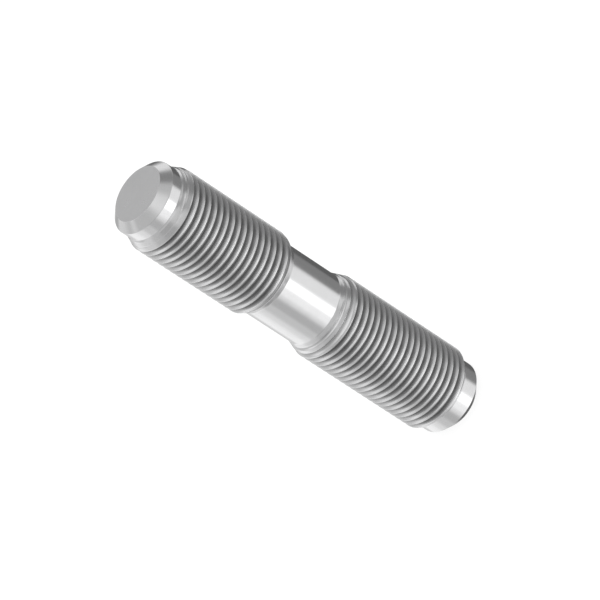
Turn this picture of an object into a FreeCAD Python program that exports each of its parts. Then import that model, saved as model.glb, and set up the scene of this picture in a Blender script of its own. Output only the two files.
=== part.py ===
import FreeCAD, Part
import math
import os
import Sketcher

# Double-ended threaded stud, turned from one steel bar, M14 x 1.25 right-hand thread on both ends.
# It stands on the end of its longer thread: +Z runs up the stud's axis, and the origin is the centre of
# the lower end face. Each threaded length is a collar at the major diameter, between a lead-in cone, by
# which a nut or tapped hole takes hold, and a run-out cone, where the thread ends.

doc = FreeCAD.newDocument("threaded_stud")

# Driving dimensions: millimetres, and degrees for the two angles, which are measured from the axis
SIZES = [
    ("major_diameter", "14.0"),
    ("shank_diameter", "12.1"),
    ("lower_point_diameter", "12.1"),
    ("upper_point_diameter", "12.1"),
    ("lower_face_diameter", "9.3"),
    ("upper_face_diameter", "9.3"),
    ("lower_chamfer_height", "1.45"),
    ("lower_point_height", "2.67"),
    ("lower_runout_height", "0.6"),
    ("lower_thread_height", "24.0"),
    ("lower_leadin_angle", "18"),
    ("lower_leadin_fillet", "0.3"),
    ("shank_height", "10.11"),
    ("upper_runout_height", "1.73"),
    ("upper_thread_height", "19.94"),
    ("upper_leadin_angle", "24.5"),
    ("upper_leadin_fillet", "0.3"),
    ("upper_point_height", "1.675"),
    ("upper_chamfer_height", "1.25"),
]

sheet = doc.addObject("Spreadsheet::Sheet", "Sizes")
for row, (alias, value) in enumerate(SIZES, start=1):
    sheet.set("A%d" % row, alias)
    sheet.set("B%d" % row, value)
    sheet.setAlias("B%d" % row, alias)
doc.recompute()


def origin_plane(body, role):
    """The origin plane of a body that has this role."""
    return [item for item in body.Origin.OriginFeatures if item.Role == role][0]


class HalfSection:
    """Sketch of half a turned piece, drawn as one closed outline: x is the radius, y the height."""

    def __init__(self, body, face_diameter):
        """Starts the outline on the axis and draws the lower end face."""
        self.sketch = body.newObject("Sketcher::SketchObject", "HalfSection")
        self.sketch.AttachmentSupport = [(origin_plane(body, "XZ_Plane"), "")]
        self.sketch.MapMode = "FlatFace"
        self.pen = FreeCAD.Vector(0, 0, 0)
        self.last = None
        face = self.line_to(sheet.get(face_diameter) / 2, 0.0)
        self.sketch.addConstraint(Sketcher.Constraint("Coincident", face, 1, -1, 1))
        self.sketch.addConstraint(Sketcher.Constraint("Horizontal", face))
        self.bind_radius(face, 2, face_diameter)

    def bind(self, name, constraint, expression):
        """Adds a driving constraint and ties it to the sizes."""
        index = self.sketch.addConstraint(constraint)
        self.sketch.renameConstraint(index, name)
        self.sketch.setExpression("Constraints." + name, expression)

    def bind_radius(self, line, point, diameter):
        """Ties the radius of a line's end point to half of a diameter."""
        radius = sheet.get(diameter) / 2
        constraint = Sketcher.Constraint("DistanceX", -1, 1, line, point, radius)
        self.bind("radius_of_line_%d" % line, constraint, "Sizes.%s / 2" % diameter)

    def line_to(self, x, y):
        """Draws a line from the pen to this point, joined to what the pen drew last."""
        end = FreeCAD.Vector(x, y, 0)
        line = self.sketch.addGeometry(Part.LineSegment(self.pen, end), False)
        if self.last is not None:
            self.sketch.addConstraint(Sketcher.Constraint("Coincident", *self.last, line, 1))
        self.pen = end
        self.last = (line, 2)
        return line

    def rise(self, height, diameter):
        """Goes up by a height to a diameter: a cylinder where the diameter stays, or else a cone."""
        line = self.line_to(sheet.get(diameter) / 2, self.pen.y + sheet.get(height))
        constraint = Sketcher.Constraint("DistanceY", line, 1, line, 2, sheet.get(height))
        self.bind(height, constraint, "Sizes." + height)
        self.bind_radius(line, 2, diameter)

    def lead_in(self, angle, fillet, diameter):
        """Goes inward along a cone, and by a tangent hollow arc onto the cylinder of a diameter."""
        slope = math.radians(sheet.get(angle))
        radius = sheet.get(fillet)
        cylinder = sheet.get(diameter) / 2
        arc_start = cylinder + radius * (1 - math.cos(slope))
        cone_height = (self.pen.x - arc_start) / math.tan(slope)
        cone = self.line_to(arc_start, self.pen.y + cone_height)
        upward = 90 + sheet.get(angle)
        constraint = Sketcher.Constraint("Angle", cone, math.radians(upward))
        self.bind(angle, constraint, "90 deg + Sizes.%s * 1 deg" % angle)

        centre = FreeCAD.Vector(cylinder + radius, self.pen.y + radius * math.sin(slope), 0)
        circle = Part.Circle(centre, FreeCAD.Vector(0, 0, 1), radius)
        arc = self.sketch.addGeometry(Part.ArcOfCircle(circle, math.pi, math.pi + slope), False)
        self.sketch.addConstraint(Sketcher.Constraint("Tangent", cone, 2, arc, 2))
        self.bind(fillet, Sketcher.Constraint("Radius", arc, radius), "Sizes." + fillet)
        self.bind_radius(arc, 1, diameter)
        self.pen = FreeCAD.Vector(cylinder, centre.y, 0)
        self.last = (arc, 1)
        return arc

    def rise_from_arc(self, arc, height):
        """Goes straight up from a lead-in's arc, tangent to it."""
        end = self.pen + FreeCAD.Vector(0, sheet.get(height), 0)
        line = self.sketch.addGeometry(Part.LineSegment(self.pen, end), False)
        self.sketch.addConstraint(Sketcher.Constraint("Tangent", arc, 1, line, 1))
        self.sketch.addConstraint(Sketcher.Constraint("Vertical", line))
        constraint = Sketcher.Constraint("DistanceY", line, 1, line, 2, sheet.get(height))
        self.bind(height, constraint, "Sizes." + height)
        self.pen = end
        self.last = (line, 2)

    def close(self):
        """Draws the upper end face to the axis, and the axis back to the start."""
        face = self.line_to(0.0, self.pen.y)
        self.sketch.addConstraint(Sketcher.Constraint("Horizontal", face))
        axis = self.line_to(0.0, 0.0)
        self.sketch.addConstraint(Sketcher.Constraint("Coincident", axis, 2, -1, 1))
        self.sketch.addConstraint(Sketcher.Constraint("Vertical", axis))
        return self.sketch


def stud_section(body):
    """The stud's outline, from its lower end face up to its upper one."""
    outline = HalfSection(body, "lower_face_diameter")
    outline.rise("lower_chamfer_height", "lower_point_diameter")
    outline.rise("lower_point_height", "lower_point_diameter")
    outline.rise("lower_runout_height", "major_diameter")
    outline.rise("lower_thread_height", "major_diameter")
    foot = outline.lead_in("lower_leadin_angle", "lower_leadin_fillet", "shank_diameter")
    outline.rise_from_arc(foot, "shank_height")
    outline.rise("upper_runout_height", "major_diameter")
    outline.rise("upper_thread_height", "major_diameter")
    foot = outline.lead_in("upper_leadin_angle", "upper_leadin_fillet", "upper_point_diameter")
    outline.rise_from_arc(foot, "upper_point_height")
    outline.rise("upper_chamfer_height", "upper_face_diameter")
    return outline.close()


body = doc.addObject("PartDesign::Body", "Stud")
body.Label = "stud"
section = stud_section(body)
turned = body.newObject("PartDesign::Revolution", "TurnedStud")
turned.Profile = section
turned.ReferenceAxis = (section, ["V_Axis"])
turned.Angle = 360
doc.recompute()

for item in doc.Objects:
    if "Invalid" in item.State or "Error" in item.State:
        raise RuntimeError("%s did not build: %s" % (item.Name, item.State))
if not section.FullyConstrained:
    raise RuntimeError("the half section is not fully constrained")
if body.Shape.isNull() or not body.Shape.isValid() or len(body.Shape.Solids) != 1:
    raise RuntimeError("the stud is not one valid solid")

os.makedirs("parts", exist_ok=True)
body.Shape.exportStep("parts/%s.step" % body.Label)
print(body.Label, body.Shape.BoundBox, round(body.Shape.Volume, 2))
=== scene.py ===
"""Double-ended threaded stud of bright steel, standing on the end of its longer thread.

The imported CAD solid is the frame. One new piece stands for it, the same turned form with both helical
grooves cut. Lengths are in metres, +Z runs up the stud's axis, and the camera is on the -Y side.
"""

import math

import bpy
import numpy as np
from mathutils import Matrix, Vector


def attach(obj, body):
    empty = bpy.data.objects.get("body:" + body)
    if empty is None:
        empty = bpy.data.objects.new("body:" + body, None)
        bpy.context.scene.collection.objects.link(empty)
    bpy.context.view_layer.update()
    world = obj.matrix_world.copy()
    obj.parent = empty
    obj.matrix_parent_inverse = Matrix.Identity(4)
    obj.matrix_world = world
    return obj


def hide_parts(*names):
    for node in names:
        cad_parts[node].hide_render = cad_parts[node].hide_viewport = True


MM = 0.001

# The turned form, as in the part's source, by radius and by height. The upper crease is 0.13 mm lower
# than there, because the upper lead-in ends in a steeper step here.
CREST = 6.985 * MM  # half the major diameter, less the thread's fit allowance
COLLAR = 7.0 * MM  # where a thread's cones would end
SHANK = 6.05 * MM
FACE = 4.65 * MM
LENGTH = 68.546 * MM
LOWER_CHAMFER = 1.45 * MM
LOWER_POINT = 4.12 * MM
LOWER_RUNOUT = 4.72 * MM
LOWER_LEADIN = 28.72 * MM
LOWER_CREASE = 31.64 * MM
UPPER_FOOT = 41.8013 * MM
UPPER_RUNOUT = 43.5313 * MM
UPPER_LEADIN = 63.4713 * MM
UPPER_CREASE = 65.43 * MM
UPPER_CHAMFER = 67.296 * MM
STEP_RISE = 0.2 * MM  # of the radius, from the upper crease to the end of the lead-in's cone
STEP_SLOPE = math.tan(math.radians(38))  # rise of the radius over the step's height
LEAN = 0.15 * MM  # how far the lead-ins are raised on the +X side and lowered on the -X side

# The thread, M14 x 1.25 right-hand
PITCH = 1.25 * MM
FLANK_SLOPE = math.sqrt(3.0)  # rise of a flank over its run along the axis
SHARP_CREST = 7.11 * MM  # radius at which the two flanks of a ridge would meet
ROOT_ARC = PITCH * FLANK_SLOPE / 12  # radius of the round root, a sixth of the full V's height
GROOVE_DEPTH = 0.75 * MM

# Rounds of the edges
CREST_BREAK = 0.03 * MM  # where a flank cuts the turned blank
FACE_BREAK = 0.04 * MM  # between a chamfer and its end face
EDGE_BREAK = 0.12 * MM  # between a chamfer and its point
STEP_ROUND = 0.15 * MM  # at both ends of the upper lead-in's step
CORNER_ROUND = 0.3 * MM  # at the foot of a run-out cone
CREASE_ROUND = 0.7 * MM  # at the foot of the lower lead-in

# The mesh
COLUMNS = 96  # round the stud
RIDGE_ROWS = 16  # up each ridge
CORNER = 0.2 * MM  # between a thread's rows and the corners below and above it
GUARD = 0.03 * MM  # between a round and the guard rings beside it
INNER_RING = 0.5 * MM  # radius of the ring round the middle of an end face
BREAK_RUN = CREST_BREAK / FLANK_SLOPE  # how far the round of a flank's edge reaches along the axis
EDGE_LIMIT = 0.1 * MM  # the least distance from a ridge's edge to the root's middle
CUT_STEPS = 24  # to close in on the height of an edge
NEAR = 0.001 * MM  # a row this close to the end of a zone is on it
FRONT = -math.pi / 2  # the side towards the camera


class Zone:
    """One threaded length: its run-out cone, collar and lead-in cone, which may end in a steeper step
    down to the crease, the height of one ridge at the front, and how far its groove has risen out of
    the bar at some heights near its ends, in millimetres."""

    def __init__(self, foot, runout_top, leadin_start, step_rise, crease, ridge, fade):
        self.foot = foot
        self.runout_top = runout_top
        self.leadin_start = leadin_start
        self.crease = crease
        self.step = crease - step_rise / STEP_SLOPE
        self.leadin_fall = (COLLAR - SHANK - step_rise) / (self.step - leadin_start)
        self.bottom = foot + CORNER
        self.top = self.step - CORNER
        self.ridge = ridge
        self.fade = fade

    def shift(self, turn):
        """How far the lead-in is raised on each side: it leans with the helix."""
        return LEAN * np.cos(2 * math.pi * turn)

    def turned(self, z, turn):
        """Radius of the turned blank: up the run-out cone, along the crest, and down the lead-in."""
        runout = SHANK + (COLLAR - SHANK) * (z - self.foot) / (self.runout_top - self.foot)
        leadin = COLLAR - (z - self.shift(turn) - self.leadin_start) * self.leadin_fall
        return np.minimum(np.minimum(runout, leadin), CREST)

    def turned_point(self, z):
        """Radius and height of the turned blank at the front, where the lead-in isn't shifted."""
        return float(self.turned(z, FRONT / (2 * math.pi))), z

    def lift(self, z):
        """How far the groove has risen out of the bar, where the tool leaves it at either end."""
        heights, rises = np.array(self.fade).T * MM
        return np.interp(z, heights, rises)


LONG_THREAD = Zone(
    foot=LOWER_POINT,
    runout_top=LOWER_RUNOUT,
    leadin_start=LOWER_LEADIN,
    step_rise=0.0,
    crease=LOWER_CREASE,
    ridge=28.84 * MM,
    fade=[
        (4.2, 0.3),
        (4.6, 0.2),
        (5.3, 0.0),
        (28.2, 0.0),
        (29.4, 0.2),
        (29.9, -0.1),
        (30.7, -0.03),
        (31.3, 0.1),
    ],
)
SHORT_THREAD = Zone(
    foot=UPPER_FOOT,
    runout_top=UPPER_RUNOUT,
    leadin_start=UPPER_LEADIN,
    step_rise=STEP_RISE,
    crease=UPPER_CREASE,
    ridge=62.58 * MM,
    fade=[
        (42.1, 0.32),
        (43.1, 0.26),
        (43.9, 0.0),
        (63.2, 0.0),
        (64.1, 0.42),
        (64.5, 0.34),
        (64.8, 0.1),
        (65.1, 0.2),
    ],
)


def thread_radius(offset):
    """Radius of the thread's own section at an offset along the axis from a ridge's centre: straight
    flanks down from the sharp crest, and the arc of the root, which touches both flanks an eighth of
    the pitch to either side of the root's middle."""
    flank = SHARP_CREST - FLANK_SLOPE * np.abs(offset)
    root_centre = SHARP_CREST - FLANK_SLOPE * PITCH / 2 + 2 * ROOT_ARC
    across = np.abs(np.abs(offset) - PITCH / 2)
    reach = np.minimum(across, PITCH / 8)
    root = root_centre - np.sqrt(ROOT_ARC**2 - reach**2)
    return np.where(across < PITCH / 8, root, flank)


def soft_minimum(a, b, width):
    """The smaller of two radii, less a parabola where they are within a width of each other, which
    rounds the edge where one surface cuts the other."""
    near = np.maximum(width - np.abs(a - b), 0.0)
    return np.minimum(a, b) - near**2 / (4 * width)


def ridge_edges(zone, centre, turn):
    """Heights where the flanks below and above a ridge's centre cut the turned blank. Each step puts
    the blank's radius at the last height into the flank's line, and that closes in on the cut."""
    below, above = centre.copy(), centre.copy()
    for _ in range(CUT_STEPS):
        below = centre - (SHARP_CREST + zone.lift(below) - zone.turned(below, turn)) / FLANK_SLOPE
        above = centre + (SHARP_CREST + zone.lift(above) - zone.turned(above, turn)) / FLANK_SLOPE
    half = PITCH / 2 - EDGE_LIMIT
    return np.maximum(below, centre - half), np.minimum(above, centre + half)


def flank_rows(root, edge):
    """Heights of the rows of one flank, and how far the round of its edge reaches. The rows are the
    root's middle, one on its arc, the arc's end, one half way up the flank, one where the round
    begins, and the edge. Where a cone cuts the flank short, they lie at shares of what is left."""
    way = np.sign(edge - root)
    length = np.abs(edge - root)
    round_run = np.minimum(BREAK_RUN, 0.15 * length)
    on_arc = root + way * np.minimum(PITCH / 16, 0.3 * length)
    arc_end = root + way * np.minimum(PITCH / 8, 0.6 * length)
    round_start = edge - way * round_run
    return [root, on_arc, arc_end, (arc_end + round_start) / 2, round_start, edge], round_run


def thread_heights(zone):
    """Heights of the thread's rows, one line of rows and one column for each direction. A row goes up
    with the helix, by a pitch for a turn. Each ridge has the same rows: from the root's middle up the
    lower flank, over the crest between its two edges, and down the upper flank."""
    turn = np.arange(COLUMNS) / COLUMNS
    first = zone.ridge - PITCH * FRONT / (2 * math.pi)
    lowest = math.floor((zone.bottom - first) / PITCH) - 1
    highest = math.ceil((zone.top - first) / PITCH) + 1
    centre = first + PITCH * (np.arange(lowest, highest + 1)[:, None] + turn[None, :])
    below, above = ridge_edges(zone, centre, turn)
    lower_rows, lower_run = flank_rows(centre - PITCH / 2, below)
    upper_rows, upper_run = flank_rows(centre + PITCH / 2, above)
    low, high = below + lower_run, above - upper_run
    crest_rows = [low + share * (high - low) for share in (0.0, 0.25, 0.5, 0.75)] + [high]
    rows = lower_rows + crest_rows + upper_rows[:0:-1]
    heights = np.stack(rows, axis=1)
    centres = np.repeat(centre[:, None, :], RIDGE_ROWS, axis=1)
    return heights.reshape(-1, COLUMNS), centres.reshape(-1, COLUMNS)


def rounded_corner(before, corner, after, radius, steps=5):
    """Points of the arc of a radius that is tangent to both lines at a corner. The arc's centre lies on
    the corner's bisector, and each point is turned about it by an equal share of the corner's angle."""
    a, b, c = (np.array(p, float) for p in (before, corner, after))
    inward = (a - b) / np.linalg.norm(a - b)
    onward = (c - b) / np.linalg.norm(c - b)
    half = math.acos(np.clip(inward @ onward, -1, 1)) / 2
    tangent_length = radius / math.tan(half)
    middle = (inward + onward) / np.linalg.norm(inward + onward)
    centre = b + middle * radius / math.sin(half)
    begin = b + inward * tangent_length - centre
    finish = b + onward * tangent_length - centre
    share = np.linspace(0, 1, steps)[:, None]
    sweep = math.pi - 2 * half
    arc = (np.sin((1 - share) * sweep) * begin + np.sin(share * sweep) * finish) / math.sin(sweep)
    return centre + arc


def turned_profile(corners, rounds):
    """Radius and height up a turned outline whose inner corners have these edge rounds. A guard ring
    just before and after each round keeps the shading of the flat and straight parts even."""
    points = [np.array([corners[0]])]
    for i, radius in enumerate(rounds, start=1):
        before, corner, after = (np.array(c, float) for c in corners[i - 1 : i + 2])
        arc = rounded_corner(before, corner, after, radius)
        back = (before - corner) / np.linalg.norm(before - corner)
        onward = (after - corner) / np.linalg.norm(after - corner)
        points.append(np.stack([arc[0] + GUARD * back, *arc, arc[-1] + GUARD * onward]))
    points.append(np.array([corners[-1]]))
    return np.concatenate(points)


class Skin:
    """Collects the points and faces of one closed turned surface, ring by ring from the bottom."""

    def __init__(self):
        self.points = []
        self.faces = []
        self.finish = []
        self.count = 0

    def add(self, radius, height, turn):
        """Puts points at a radius and height, turned about the axis by a share of a full circle."""
        angle = 2 * math.pi * np.broadcast_to(turn, radius.shape)
        xyz = np.stack([radius * np.cos(angle), radius * np.sin(angle), height], axis=-1)
        self.points.append(xyz.reshape(-1, 3))
        index = self.count + np.arange(radius.size).reshape(radius.shape)
        self.count += radius.size
        return index

    def rings(self, profile, zone=None):
        """One ring of points for each point of a turned outline. The rings at a zone's lead-in lean
        with it."""
        turn = np.arange(COLUMNS)[None, :] / COLUMNS
        radius = np.broadcast_to(profile[:, :1], (len(profile), COLUMNS))
        height = np.broadcast_to(profile[:, 1:], (len(profile), COLUMNS))
        if zone is not None:
            height = np.where(height < zone.crease + CORNER, height + zone.shift(turn), height)
        return self.add(radius, height, turn)

    def band(self, grid, finish):
        """Faces between each row of a grid and the next. Where two corners are one point, the face is
        a triangle, and where both sides have shrunk to a point there is none."""
        low_left, low_right = grid[:-1, :-1], grid[:-1, 1:]
        high_left, high_right = grid[1:, :-1], grid[1:, 1:]
        faces = np.stack([low_left, low_right, high_right, high_left], axis=-1).reshape(-1, 4)
        left_shut, right_shut = faces[:, 0] == faces[:, 3], faces[:, 1] == faces[:, 2]
        open_faces = faces[~left_shut & ~right_shut]
        left_points = faces[left_shut & ~right_shut][:, :3]
        right_points = faces[right_shut & ~left_shut][:, [0, 1, 3]]
        for part in (open_faces, left_points, right_points):
            self.faces += part.tolist()
            self.finish += [finish] * len(part)

    def cap(self, ring, height, finish, upward):
        """Triangles from a ring to one point on the axis."""
        pole = self.add(np.zeros((1, 1)), np.full((1, 1), height), 0.0)[0, 0]
        onward = np.roll(ring, -1)
        poles = np.full(len(ring), pole)
        order = (ring, onward, poles) if upward else (onward, ring, poles)
        self.faces += np.stack(order, axis=-1).tolist()
        self.finish += [finish] * len(ring)


def closed(rings):
    """A grid with its first column again at the end, so that the last face meets the first."""
    return np.concatenate([rings, rings[:, :1]], axis=1)


def thread_grid(skin, zone, low_ring, high_ring):
    """The threaded length as a grid of point numbers. The radius is the smaller of the turned blank's
    and the thread's. Rows that the helix has carried past an end of the zone shrink onto that end's
    ring, and the last column is the first one a ridge further up."""
    heights, centres = thread_heights(zone)
    groove = thread_radius(heights - centres) + zone.lift(heights)
    turn = np.arange(COLUMNS)[None, :] / COLUMNS
    radius = soft_minimum(zone.turned(heights, turn), groove, CREST_BREAK)
    under = heights <= zone.bottom + NEAR
    over = heights >= zone.top + zone.shift(turn) - NEAR
    inside = ~under & ~over
    columns = np.broadcast_to(turn, heights.shape)[inside]
    numbers = skin.add(radius[inside], heights[inside], columns)
    grid = np.where(under, low_ring[None, :], high_ring[None, :])
    grid[inside] = numbers
    seam = np.concatenate([grid[RIDGE_ROWS:, 0], np.full(RIDGE_ROWS, high_ring[0])])
    return np.concatenate([grid, seam[:, None]], axis=1)


ENDS, TURNED, ROLLED = range(3)


def stud_surface():
    """The whole stud from its lower face to its upper one, as points, faces and each face's finish."""
    skin = Skin()
    lower = turned_profile(
        [
            (INNER_RING, 0.0),
            (FACE, 0.0),
            (SHANK, LOWER_CHAMFER),
            (SHANK, LOWER_POINT),
            LONG_THREAD.turned_point(LONG_THREAD.bottom),
        ],
        [FACE_BREAK, EDGE_BREAK, CORNER_ROUND],
    )
    shank = turned_profile(
        [
            LONG_THREAD.turned_point(LONG_THREAD.top),
            (SHANK, LONG_THREAD.crease),
            (SHANK, UPPER_FOOT),
            SHORT_THREAD.turned_point(SHORT_THREAD.bottom),
        ],
        [CREASE_ROUND, CORNER_ROUND],
    )
    upper = turned_profile(
        [
            SHORT_THREAD.turned_point(SHORT_THREAD.top),
            SHORT_THREAD.turned_point(SHORT_THREAD.step),
            (SHANK, SHORT_THREAD.crease),
            (SHANK, UPPER_CHAMFER),
            (FACE, LENGTH),
            (INNER_RING, LENGTH),
        ],
        [STEP_ROUND, STEP_ROUND, EDGE_BREAK, FACE_BREAK],
    )
    lower_rings = skin.rings(lower)
    shank_rings = skin.rings(shank, LONG_THREAD)
    upper_rings = skin.rings(upper, SHORT_THREAD)
    skin.cap(lower_rings[0], 0.0, ENDS, upward=False)
    skin.band(closed(lower_rings[:2]), ENDS)
    skin.band(closed(lower_rings[1:]), TURNED)
    skin.band(thread_grid(skin, LONG_THREAD, lower_rings[-1], shank_rings[0]), ROLLED)
    skin.band(closed(shank_rings), TURNED)
    skin.band(thread_grid(skin, SHORT_THREAD, shank_rings[-1], upper_rings[0]), ROLLED)
    skin.band(closed(upper_rings[:-1]), TURNED)
    skin.band(closed(upper_rings[-2:]), ENDS)
    skin.cap(upper_rings[-1], LENGTH, ENDS, upward=True)
    return np.concatenate(skin.points), skin.faces, np.array(skin.finish)


def depth_in_thread(points):
    """How deep each point lies below the turned blank, as a share of the groove's depth, on the
    threaded lengths. It is 0 elsewhere."""
    radius = np.hypot(points[:, 0], points[:, 1])
    turn = np.arctan2(points[:, 1], points[:, 0]) / (2 * math.pi)
    heights = points[:, 2]
    depth = np.zeros(len(points))
    for zone in (LONG_THREAD, SHORT_THREAD):
        threaded = (heights > zone.bottom) & (heights < zone.top + zone.shift(turn))
        below = zone.turned(heights, turn) - radius
        depth = np.where(threaded, np.clip(below / GROOVE_DEPTH, 0, 1), depth)
    return depth.astype(np.float32)


def make_stud(materials):
    """The stud's mesh, smooth over its small rounds, with how deep each point lies in the thread."""
    points, faces, finish = stud_surface()
    mesh = bpy.data.meshes.new("bright_stud")
    mesh.from_pydata(points.tolist(), [], faces)
    depth = mesh.attributes.new("groove_depth", "FLOAT", "POINT")
    depth.data.foreach_set("value", depth_in_thread(points))
    for material in materials:
        mesh.materials.append(material)
    mesh.polygons.foreach_set("material_index", finish.astype(np.int32))
    mesh.polygons.foreach_set("use_smooth", np.ones(len(faces), bool))
    mesh.validate()
    mesh.update()
    stud = bpy.data.objects.new("bright_stud", mesh)
    bpy.context.scene.collection.objects.link(stud)
    return stud


def feed(tree, socket, value):
    """Links another socket to this one, or sets it to a plain value."""
    if isinstance(value, bpy.types.NodeSocket):
        tree.links.new(value, socket)
    else:
        socket.default_value = value


def result_of(tree, operation, *values):
    """A math node's result, from sockets or plain numbers."""
    made = tree.nodes.new("ShaderNodeMath")
    made.operation = operation
    for socket, value in zip(made.inputs, values):
        feed(tree, socket, value)
    return made.outputs[0]


def ramp_of(tree, value, low, high, to_low, to_high, smooth=False):
    """A value taken from one range to another, held at its ends."""
    made = tree.nodes.new("ShaderNodeMapRange")
    made.interpolation_type = "SMOOTHSTEP" if smooth else "LINEAR"
    feed(tree, made.inputs["Value"], value)
    feed(tree, made.inputs["From Min"], low)
    feed(tree, made.inputs["From Max"], high)
    feed(tree, made.inputs["To Min"], to_low)
    feed(tree, made.inputs["To Max"], to_high)
    return made.outputs["Result"]


# Numbers of a Mix node's first input, second input and output, for each kind of data
MIX_SOCKETS = {"FLOAT": (2, 3, 0), "RGBA": (6, 7, 2)}


def mix_of(tree, kind, share, first, second):
    """A mix node's result: the first value where the share is 0, and the second where it is 1."""
    first_input, second_input, output = MIX_SOCKETS[kind]
    made = tree.nodes.new("ShaderNodeMix")
    made.data_type = kind
    feed(tree, made.inputs[0], share)
    feed(tree, made.inputs[first_input], first)
    feed(tree, made.inputs[second_input], second)
    return made.outputs[output]


def noise_of(tree, position, scale, detail, roughness, along_line=False):
    """A noise texture's value, at a point in space or at a distance along one line."""
    made = tree.nodes.new("ShaderNodeTexNoise")
    made.noise_dimensions = "1D" if along_line else "3D"
    feed(tree, made.inputs["W" if along_line else "Vector"], position)
    feed(tree, made.inputs["Scale"], scale)
    feed(tree, made.inputs["Detail"], detail)
    feed(tree, made.inputs["Roughness"], roughness)
    return made.outputs[0]


def new_group(name, inputs, output):
    """An empty shader node group with float inputs, each with its first value, and one float output.
    Returns the group, the values given to it and the socket of its result."""
    group = bpy.data.node_groups.new(name, "ShaderNodeTree")
    for label, value in inputs.items():
        socket = group.interface.new_socket(label, in_out="INPUT", socket_type="NodeSocketFloat")
        socket.default_value = value
    group.interface.new_socket(output, in_out="OUTPUT", socket_type="NodeSocketFloat")
    given = group.nodes.new("NodeGroupInput").outputs
    result = group.nodes.new("NodeGroupOutput").inputs[output]
    return group, given, result


def use_group(tree, group, values):
    """A node that uses a group, with these values in its inputs."""
    made = tree.nodes.new("ShaderNodeGroup")
    made.node_tree = group
    for name, value in values.items():
        feed(tree, made.inputs[name], value)
    return made


LINES_FADE = 2.0 * MM  # radius inside which the tool's lines fade out


def lathe_marks_group():
    """Fine lines that a tool leaves round the axis: noise along one line, which is the height plus the
    radius, so that it gives rings on cylinders, cones and end faces alike. They fade out at the axis."""
    values = {"Lines per metre": 4000.0, "Height weight": 1.0}
    group, given, result = new_group("lathe_marks", values, "Lines")
    place = group.nodes.new("ShaderNodeTexCoord").outputs["Object"]
    split = group.nodes.new("ShaderNodeSeparateXYZ")
    group.links.new(place, split.inputs[0])
    across = result_of(group, "POWER", split.outputs["X"], 2.0)
    along = result_of(group, "POWER", split.outputs["Y"], 2.0)
    radius = result_of(group, "SQRT", result_of(group, "ADD", across, along))
    height = result_of(group, "MULTIPLY", split.outputs["Z"], given["Height weight"])
    way = result_of(group, "ADD", radius, height)
    path = result_of(group, "MULTIPLY", way, given["Lines per metre"])
    lines = noise_of(group, path, scale=1.0, detail=2.0, roughness=0.5, along_line=True)
    fade = ramp_of(group, radius, 0.0, LINES_FADE, 0.0, 1.0)
    group.links.new(result_of(group, "MULTIPLY", lines, fade), result)
    return group


FINER = 9.0  # how many times finer the second noise of the steel's tone is
BROAD_SHARE = 0.7  # how much of the tone the first one gives
TONE_ENDS = (0.35, 0.65)  # the tones where the steel is quite bright and quite dull


def steel_tone_group():
    """Slow changes of tone over the steel, where it was handled and stored: noise a few millimetres
    across, with a finer one laid over it."""
    group, given, result = new_group("steel_tone", {"Patches per metre": 140.0}, "Tone")
    place = group.nodes.new("ShaderNodeTexCoord").outputs["Object"]
    patches = given["Patches per metre"]
    finer = result_of(group, "MULTIPLY", patches, FINER)
    broad = noise_of(group, place, patches, detail=3.0, roughness=0.55)
    fine = noise_of(group, place, finer, detail=2.0, roughness=0.5)
    broad_part = result_of(group, "MULTIPLY", broad, BROAD_SHARE)
    fine_part = result_of(group, "MULTIPLY", fine, 1 - BROAD_SHARE)
    group.links.new(result_of(group, "ADD", broad_part, fine_part), result)
    return group


def steel(name, groups, bright, dull, roughness, lines, line_depth, height_weight=1.0, groove_shading=None):
    """Bright steel. The tone moves the colour between bright and dull and the roughness between its two
    values, and the tool's lines go into the bump. In the threads' steel the colour also falls, by how
    deep a point lies, to a dark grey that is painted shade in the grooves, and the roughness rises."""
    material = bpy.data.materials.new(name)
    material.use_nodes = True
    tree = material.node_tree
    shader = tree.nodes["Principled BSDF"]
    shader.inputs["Metallic"].default_value = 1.0
    tone = use_group(tree, groups["steel_tone"], {})
    marks = use_group(
        tree, groups["lathe_marks"], {"Lines per metre": lines, "Height weight": height_weight}
    )
    even = ramp_of(tree, tone.outputs["Tone"], *TONE_ENDS, 0.0, 1.0)
    colour = mix_of(tree, "RGBA", even, (*bright, 1.0), (*dull, 1.0))
    rough = ramp_of(tree, even, 0.0, 1.0, *roughness)
    if groove_shading:
        # Deeper in a groove the colour falls to a dark grey, which is painted shade, and the roughness
        # rises
        depth = tree.nodes.new("ShaderNodeAttribute")
        depth.attribute_name = "groove_depth"
        shade = ramp_of(tree, depth.outputs["Fac"], 0.0, groove_shading["full_depth"], 0.0, 1.0, smooth=True)
        colour = mix_of(tree, "RGBA", shade, colour, (*groove_shading["root"], 1.0))
        rougher = result_of(tree, "MULTIPLY", shade, groove_shading["roughness"])
        rough = result_of(tree, "ADD", rough, rougher)
    tree.links.new(colour, shader.inputs["Base Color"])
    tree.links.new(rough, shader.inputs["Roughness"])

    bump = tree.nodes.new("ShaderNodeBump")
    bump.inputs["Strength"].default_value = 1.0
    bump.inputs["Distance"].default_value = line_depth
    tree.links.new(marks.outputs["Lines"], bump.inputs["Height"])
    tree.links.new(bump.outputs["Normal"], shader.inputs["Normal"])
    return material


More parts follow.
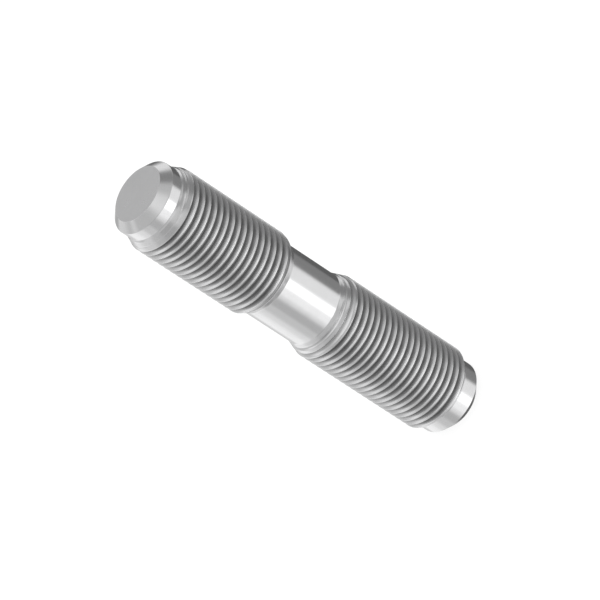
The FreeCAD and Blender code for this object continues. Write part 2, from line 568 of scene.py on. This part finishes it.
def make_materials():
    """The stud's finishes, in the order of their numbers: faced ends, the turned shank and points, and
    the rolled threads. Lines are per metre, and their depth is in metres."""
    groups = {"lathe_marks": lathe_marks_group(), "steel_tone": steel_tone_group()}
    ends = steel(
        "faced_end_steel",
        groups,
        bright=(0.67, 0.67, 0.675),
        dull=(0.63, 0.63, 0.635),
        roughness=(0.26, 0.32),
        lines=9000,
        line_depth=0.3e-6,
    )
    turned = steel(
        "turned_steel",
        groups,
        bright=(0.70, 0.70, 0.705),
        dull=(0.67, 0.67, 0.675),
        roughness=(0.15, 0.19),
        lines=6000,
        line_depth=0.6e-6,
    )
    rolled = steel(
        "rolled_thread_steel",
        groups,
        bright=(0.70, 0.70, 0.705),
        dull=(0.65, 0.65, 0.655),
        roughness=(0.19, 0.25),
        lines=9000,
        line_depth=0.8e-6,
        height_weight=0.0,
        # The root colour is a dark grey painted as shade deep in the grooves
        groove_shading={"full_depth": 0.95, "root": (0.27, 0.27, 0.27), "roughness": 0.12},
    )
    return [ends, turned, rolled]


def panel_group():
    """One soft-edged panel of the studio, seen from the stud: 1 inside its width and height, falling to
    0 over the softness at its edges. Directions are in degrees, round from the camera and up."""
    values = {
        "Round": 0.0,
        "Up": 0.0,
        "Middle round": 0.0,
        "Half width": 20.0,
        "Middle up": 0.0,
        "Half height": 20.0,
        "Softness": 5.0,
    }
    group, given, result = new_group("studio_panel", values, "Mask")
    masks = []
    for direction, middle, half in (
        ("Round", "Middle round", "Half width"),
        ("Up", "Middle up", "Half height"),
    ):
        apart = result_of(group, "SUBTRACT", given[direction], given[middle])
        off = result_of(group, "PINGPONG", apart, 180.0)
        inner = result_of(group, "SUBTRACT", given[half], given["Softness"])
        outer = result_of(group, "ADD", given[half], given["Softness"])
        masks.append(ramp_of(group, off, inner, outer, 1.0, 0.0, smooth=True))
    group.links.new(result_of(group, "MULTIPLY", *masks), result)
    return group


# The cards and soft boxes that the steel reflects, each with the values of CARD_VALUES. Angles are in
# degrees, round from the camera's side towards -X and up from the horizon, and a brightness of 1 is the
# white room. A later one covers an earlier one.
CARD_VALUES = ("Middle round", "Half width", "Middle up", "Half height", "Softness", "Brightness")
CARDS = [
    # The room's upper half and its ceiling
    (0, 200, 50, 55, 8, 0.64),
    (-20, 38, 45, 32, 14, 0.88),
    (90, 60, 82, 22, 10, 0.55),
    (0, 200, 92, 26, 9, 1.15),
    # What the chamfer, the flanks and the lead-ins reflect
    (132, 25, 47, 14, 8, 1.2),
    (140, 22, 6, 14, 8, 0.86),
    (-122, 28, 37, 16, 8, 0.30),
    (-137, 16, 6, 13, 5, 1.0),
    (-50, 20, 14, 8, 6, 0.50),
    (35, 20, 18, 13, 6, 0.50),
    (-36, 14, 33, 13, 10, 0.42),
    (96, 14, 8, 20, 7, 0.85),
    # Mostly what the shank, the points and the crests reflect, as bands along the stud
    (45, 16, -50, 46, 7, 0.60),
    (72, 12, -50, 46, 7, 0.76),
    (126, 20, -31, 23, 9, 1.2),
    (170, 26, -50, 42, 8, 0.75),
    (180, 28, -12, 9, 5, 0.50),
    (-58, 20, -45, 45, 6, 1.08),
    (2, 14, -50, 45, 5, 1.25),
    (-22, 14, -52, 45, 3, 1.75),
    (-90, 22, 4, 20, 9, 0.31),
    (-102, 22.5, -26, 22, 6, 0.29),
    (-148, 26, -34, 25, 6, 0.14),
    # Mostly what the run-outs, the lower chamfer and the creases reflect
    (0, 200, -90, 20, 10, 0.60),
    (-126, 30, -74, 14, 6, 0.92),
    (-38, 9, -13, 7, 4, 0.12),
    (126, 24, -71, 12, 7, 0.33),
    (180, 14, -56, 8, 5, 0.10),
    (0, 62, -15, 7, 4, 0.45),
    (-126, 20, -18, 4, 4, 1.05),
]


def directions(tree):
    """Degrees round from the camera's side towards -X, and up, of where a ray of the world goes."""
    place = tree.nodes.new("ShaderNodeTexCoord").outputs["Generated"]
    split = tree.nodes.new("ShaderNodeSeparateXYZ")
    tree.links.new(place, split.inputs[0])
    front = result_of(tree, "MULTIPLY", split.outputs["Y"], -1.0)
    left = result_of(tree, "MULTIPLY", split.outputs["X"], -1.0)
    degrees = 180 / math.pi
    around = result_of(tree, "MULTIPLY", result_of(tree, "ARCTAN2", left, front), degrees)
    up = result_of(tree, "MULTIPLY", result_of(tree, "ARCSINE", split.outputs["Z"]), degrees)
    return around, up


def white_background(tree, strength):
    """A white background shader's output."""
    made = tree.nodes.new("ShaderNodeBackground")
    made.inputs["Color"].default_value = (1, 1, 1, 1)
    feed(tree, made.inputs["Strength"], strength)
    return made.outputs[0]


ROOM_LIGHT = 0.7  # strength of the level light that falls on the floor


def make_world():
    """A plain white room. The camera sees it as plain white, and the steel also reflects its cards and
    soft boxes. A level grey light of the same room falls on the floor."""
    world = bpy.data.worlds.new("studio")
    bpy.context.scene.world = world
    world.use_nodes = True
    tree = world.node_tree
    tree.nodes.clear()
    around, up = directions(tree)
    path = tree.nodes.new("ShaderNodeLightPath").outputs
    reflected = result_of(tree, "SUBTRACT", 1.0, path["Is Camera Ray"])
    group = panel_group()
    level = 1.0
    for card in CARDS:
        values = dict(zip(CARD_VALUES, card))
        brightness = values.pop("Brightness")
        panel = use_group(tree, group, {"Round": around, "Up": up, **values})
        share = result_of(tree, "MULTIPLY", panel.outputs["Mask"], reflected)
        level = mix_of(tree, "FLOAT", share, level, brightness)
    seen = result_of(tree, "ADD", path["Is Camera Ray"], path["Is Glossy Ray"])
    seen = result_of(tree, "ADD", seen, path["Is Transmission Ray"])
    choice = tree.nodes.new("ShaderNodeMixShader")
    tree.links.new(seen, choice.inputs[0])
    tree.links.new(white_background(tree, ROOM_LIGHT), choice.inputs[1])
    tree.links.new(white_background(tree, level), choice.inputs[2])
    out = tree.nodes.new("ShaderNodeOutputWorld")
    tree.links.new(choice.outputs[0], out.inputs["Surface"])


FLOOR_HALF = 4.0  # half of a side
FLOOR_GREY = 0.35
FLOOR_GLOW = 0.8  # the camera sees the lit grey and this much white over it


def make_floor():
    """A plain white floor at the stud's lower face. It keeps the stud's shadow, and reflections don't
    show it."""
    half = FLOOR_HALF
    mesh = bpy.data.meshes.new("floor")
    corners = [(-half, -half, 0), (half, -half, 0), (half, half, 0), (-half, half, 0)]
    mesh.from_pydata(corners, [], [(0, 1, 2, 3)])
    floor = bpy.data.objects.new("floor", mesh)
    bpy.context.scene.collection.objects.link(floor)
    material = bpy.data.materials.new("pale_floor")
    material.use_nodes = True
    tree = material.node_tree
    tree.nodes.clear()
    card = tree.nodes.new("ShaderNodeBsdfDiffuse")
    card.inputs["Color"].default_value = (FLOOR_GREY, FLOOR_GREY, FLOOR_GREY, 1)
    glow = tree.nodes.new("ShaderNodeEmission")
    glow.inputs["Color"].default_value = (1, 1, 1, 1)
    path = tree.nodes.new("ShaderNodeLightPath").outputs
    seen = result_of(tree, "MULTIPLY", path["Is Camera Ray"], FLOOR_GLOW)
    tree.links.new(seen, glow.inputs["Strength"])
    both = tree.nodes.new("ShaderNodeAddShader")
    tree.links.new(card.outputs[0], both.inputs[0])
    tree.links.new(glow.outputs[0], both.inputs[1])
    out = tree.nodes.new("ShaderNodeOutputMaterial")
    tree.links.new(both.outputs[0], out.inputs["Surface"])
    mesh.materials.append(material)
    floor.visible_glossy = False


LAMP_SIZE = 1.2
LAMP_WATTS = 2.6
LAMP_PLACE = (0.1, 0.1, 1.3)


def make_lamp():
    """One wide soft box overhead. It lights the floor, and reflections don't show it."""
    lamp = bpy.data.lights.new("overhead_softbox", "AREA")
    lamp.shape = "SQUARE"
    lamp.size = LAMP_SIZE
    lamp.energy = LAMP_WATTS
    box = bpy.data.objects.new("overhead_softbox", lamp)
    box.matrix_world = Matrix.Translation(LAMP_PLACE)
    box.visible_glossy = False
    bpy.context.scene.collection.objects.link(box)


# The photograph's view, as fitted to the stud's outline. Pixels are those of its 600 by 600 frame.
ELEVATION = math.radians(34.03)
ROLL = math.radians(33.24)
DISTANCE = 792.4 * MM
FOCAL_PIXELS = 5281
FRAME_PIXELS = 600
SENSOR = 36.0  # millimetres
AIM = Vector((0, 0, 35.43 * MM))  # the point of the axis that the distance is measured to
PIXEL_AT_AIM = DISTANCE / FOCAL_PIXELS
MIDDLE_RIGHT = 5.76 * PIXEL_AT_AIM  # the middle of the frame is this far to the right of the aim
MIDDLE_DOWN = 3.65 * PIXEL_AT_AIM


def make_camera():
    """The camera looks at the stud from the front and above, rolled so that the stud's upper end comes
    to the left."""
    data = bpy.data.cameras.new("camera")
    data.sensor_width = SENSOR
    data.lens = SENSOR * FOCAL_PIXELS / FRAME_PIXELS
    data.clip_start = 0.01
    data.clip_end = 100
    back = Vector((0, -math.cos(ELEVATION), math.sin(ELEVATION)))
    down_axis = Vector((0, -math.sin(ELEVATION), -math.cos(ELEVATION)))
    across = Vector((-1, 0, 0))
    right = math.cos(ROLL) * down_axis - math.sin(ROLL) * across
    up = -(math.sin(ROLL) * down_axis + math.cos(ROLL) * across)
    place = AIM + DISTANCE * back
    middle = AIM + MIDDLE_RIGHT * right - MIDDLE_DOWN * up
    back = (place - middle).normalized()
    right = (right - right.dot(back) * back).normalized()
    up = back.cross(right)
    camera = bpy.data.objects.new("camera", data)
    turned = Matrix((right, up, back)).transposed().to_4x4()
    camera.matrix_world = Matrix.Translation(place) @ turned
    bpy.context.scene.collection.objects.link(camera)
    bpy.context.scene.camera = camera


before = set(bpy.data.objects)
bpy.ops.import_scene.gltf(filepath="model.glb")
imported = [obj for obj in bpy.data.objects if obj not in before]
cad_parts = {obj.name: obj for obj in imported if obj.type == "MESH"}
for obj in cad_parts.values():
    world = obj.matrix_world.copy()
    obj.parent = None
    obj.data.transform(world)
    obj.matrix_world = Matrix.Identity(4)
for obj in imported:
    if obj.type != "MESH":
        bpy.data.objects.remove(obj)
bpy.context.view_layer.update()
bpy.context.scene.view_settings.view_transform = "Standard"

stud = make_stud(make_materials())
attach(stud, "root")
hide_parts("stud")
make_floor()
make_lamp()
make_world()
make_camera()
